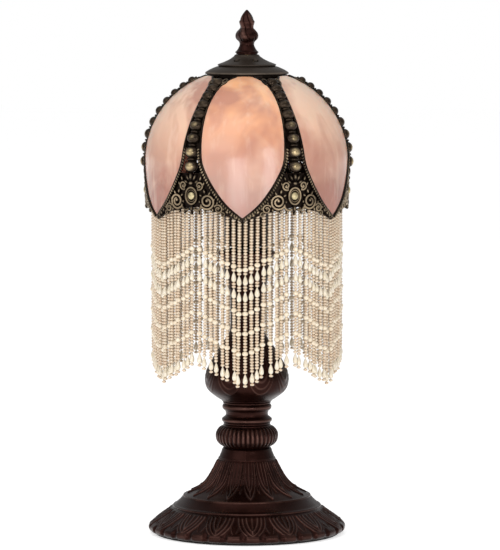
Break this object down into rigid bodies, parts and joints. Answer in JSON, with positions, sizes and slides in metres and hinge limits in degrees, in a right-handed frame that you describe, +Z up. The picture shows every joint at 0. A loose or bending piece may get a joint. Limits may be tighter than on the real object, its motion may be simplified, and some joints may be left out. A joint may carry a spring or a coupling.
{
  "type": "fringed accent table lamp",
  "caption": "Small table lamp with a domed shade of bent pink glass petals in beaded cast ribs, a pearl bead fringe, and a turned and cast mahogany-bronze base.",
  "frame": {"origin": "on the lamp's axis, on the surface that it stands on", "axes": "+Z up; -Y is the front, where a petal is centred; the cord bushing faces +Y"},
  "size_m": [0.1654, 0.1572, 0.406],
  "materials": {
    "mahogany_bronze": "dark mahogany-bronze patina, semi-gloss, worn lighter on the ridges",
    "socket_bronze": "dark bronze lacquer, semi-gloss",
    "rib_bronze": "antique bronze with rubbed brass highlights",
    "art_glass": "opalescent pink and peach art glass, fire polished",
    "pearl_beads": "ivory pearl lustre",
    "woven_tape": "woven cream header tape",
    "dark_felt": "pressed felt",
    "zinc_steel": "zinc plated",
    "cast_iron": "rough cast",
    "brass": "drawn brass, satin",
    "phenolic": "moulded, satin",
    "fibre": "pressed insulating fibre, matt",
    "porcelain": "glazed",
    "frosted_glass": "frosted bulb glass"
  },
  "bodies": {
    "root": {"base_foot": "mahogany_bronze", "felt_pad": "dark_felt", "ballast_weight": "cast_iron", "foot_washer": "zinc_steel", "foot_nut": "zinc_steel", "cord_bushing": "phenolic", "gadroon_collar": "mahogany_bronze", "ringed_neck": "mahogany_bronze", "vase_body": "mahogany_bronze", "socket_cup": "mahogany_bronze", "lamp_pipe": "zinc_steel", "harp_saddle": "socket_bronze", "saddle_nut": "socket_bronze", "harp_wire": "socket_bronze", "harp_stud": "brass", "socket_cap": "socket_bronze", "socket_shell": "socket_bronze", "socket_liner": "fibre", "socket_core": "porcelain", "screw_shell": "brass", "centre_contact": "brass"},
    "key": {"key_shaft": "socket_bronze", "key_knob": "phenolic"},
    "bulb_seat": {"bulb_contact": "zinc_steel"},
    "bulb": {"bulb_glass": "frosted_glass", "bulb_cap": "brass"},
    "ferrule_front": {"harp_ferrule_front": "socket_bronze"},
    "ferrule_back": {"harp_ferrule_back": "socket_bronze"},
    "shade": {"crown_ring": "rib_bronze", "vase_cap": "mahogany_bronze", "rib_1": "rib_bronze", "glass_petal_1": "art_glass", "fringe_tape_1": "woven_tape", "rib_2": "rib_bronze", "glass_petal_2": "art_glass", "fringe_tape_2": "woven_tape", "rib_3": "rib_bronze", "glass_petal_3": "art_glass", "fringe_tape_3": "woven_tape", "rib_4": "rib_bronze", "glass_petal_4": "art_glass", "fringe_tape_4": "woven_tape", "rib_5": "rib_bronze", "glass_petal_5": "art_glass", "fringe_tape_5": "woven_tape", "rib_6": "rib_bronze", "glass_petal_6": "art_glass", "fringe_tape_6": "woven_tape"},
    "fringe_1": {"fringe_strands_1": "pearl_beads"},
    "fringe_2": {"fringe_strands_2": "pearl_beads"},
    "fringe_3": {"fringe_strands_3": "pearl_beads"},
    "fringe_4": {"fringe_strands_4": "pearl_beads"},
    "fringe_5": {"fringe_strands_5": "pearl_beads"},
    "fringe_6": {"fringe_strands_6": "pearl_beads"},
    "finial_thread": {"finial_insert": "brass"},
    "finial": {"finial": "mahogany_bronze"}
  },
  "joints": [
    {"name": "shade_swivel", "type": "hinge", "parent": "root", "child": "shade", "pos_m": [0, 0, 0.357], "axis": [0, 0, 1], "continuous": true},
    {"name": "fringe_1_swing", "type": "hinge", "parent": "shade", "child": "fringe_1", "pos_m": [0, -0.0693, 0.2495], "axis": [-1, 0, 0], "range_deg": [0, 10]},
    {"name": "fringe_2_swing", "type": "hinge", "parent": "shade", "child": "fringe_2", "pos_m": [0.06002, -0.03465, 0.2495], "axis": [-0.5, -0.866, 0], "range_deg": [0, 10]},
    {"name": "fringe_3_swing", "type": "hinge", "parent": "shade", "child": "fringe_3", "pos_m": [0.06002, 0.03465, 0.2495], "axis": [0.5, -0.866, 0], "range_deg": [0, 10]},
    {"name": "fringe_4_swing", "type": "hinge", "parent": "shade", "child": "fringe_4", "pos_m": [0, 0.0693, 0.2495], "axis": [1, 0, 0], "range_deg": [0, 10]},
    {"name": "fringe_5_swing", "type": "hinge", "parent": "shade", "child": "fringe_5", "pos_m": [-0.06002, 0.03465, 0.2495], "axis": [0.5, 0.866, 0], "range_deg": [0, 10]},
    {"name": "fringe_6_swing", "type": "hinge", "parent": "shade", "child": "fringe_6", "pos_m": [-0.06002, -0.03465, 0.2495], "axis": [-0.5, 0.866, 0], "range_deg": [0, 10]},
    {"name": "finial_lift", "type": "slide", "parent": "root", "child": "finial_thread", "axis": [0, 0, 1], "range_m": [0, 0.00565]},
    {"name": "finial_turn", "type": "hinge", "parent": "finial_thread", "child": "finial", "pos_m": [0, 0, 0.377], "axis": [0, 0, 1], "range_deg": [0, 2160]},
    {"name": "bulb_lift", "type": "slide", "parent": "root", "child": "bulb_seat", "axis": [0, 0, 1], "range_m": [0, 0.0218]},
    {"name": "bulb_turn", "type": "hinge", "parent": "bulb_seat", "child": "bulb", "pos_m": [0, 0, 0.265], "axis": [0, 0, 1], "range_deg": [0, 2160]},
    {"name": "ferrule_front_lift", "type": "slide", "parent": "root", "child": "ferrule_front", "axis": [0, 0, 1], "range_m": [0, 0.008]},
    {"name": "ferrule_back_lift", "type": "slide", "parent": "root", "child": "ferrule_back", "axis": [0, 0, 1], "range_m": [0, 0.008]},
    {"name": "socket_key_turn", "type": "hinge", "parent": "root", "child": "key", "pos_m": [0, 0, 0.2455], "axis": [0.4695, 0.8829, 0], "continuous": true}
  ],
  "couplings": [
    {"joint": "finial_lift", "follows": "finial_turn", "m_per_rad": 0.00014972},
    {"joint": "bulb_lift", "follows": "bulb_turn", "m_per_rad": 0.0005775}
  ]
}
